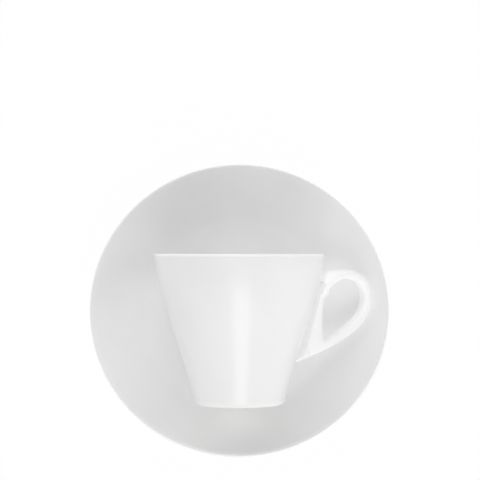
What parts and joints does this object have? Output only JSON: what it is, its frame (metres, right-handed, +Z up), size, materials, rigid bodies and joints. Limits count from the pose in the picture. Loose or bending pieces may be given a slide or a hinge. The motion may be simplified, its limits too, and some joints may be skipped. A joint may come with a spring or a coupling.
{
  "type": "espresso cup and saucer",
  "caption": "White porcelain espresso cup with a teardrop ear handle, lying on its side on a round dished saucer.",
  "frame": {"origin": "centre of the saucer, on the table under its foot ring", "axes": "+Z up; +Y is the way the lying cup's mouth faces; +X is the side its handle is on"},
  "size_m": [0.12, 0.12, 0.0718],
  "materials": {
    "saucer_porcelain": "clear gloss glaze over white porcelain, bare foot ring",
    "cup_porcelain": "clear gloss glaze over white porcelain, bare foot ring",
    "handle_porcelain": "clear gloss glaze over white porcelain",
    "slip": "matt fired slip"
  },
  "bodies": {
    "saucer": {"saucer": "saucer_porcelain"},
    "cup": {"cup_body": "cup_porcelain", "cup_handle": "handle_porcelain", "handle_slip": "slip"}
  },
  "joints": [
    {"name": "cup_lift", "type": "slide", "parent": "saucer", "child": "cup", "axis": [0, 0, 1], "range_m": [0, 0.09]}
  ]
}
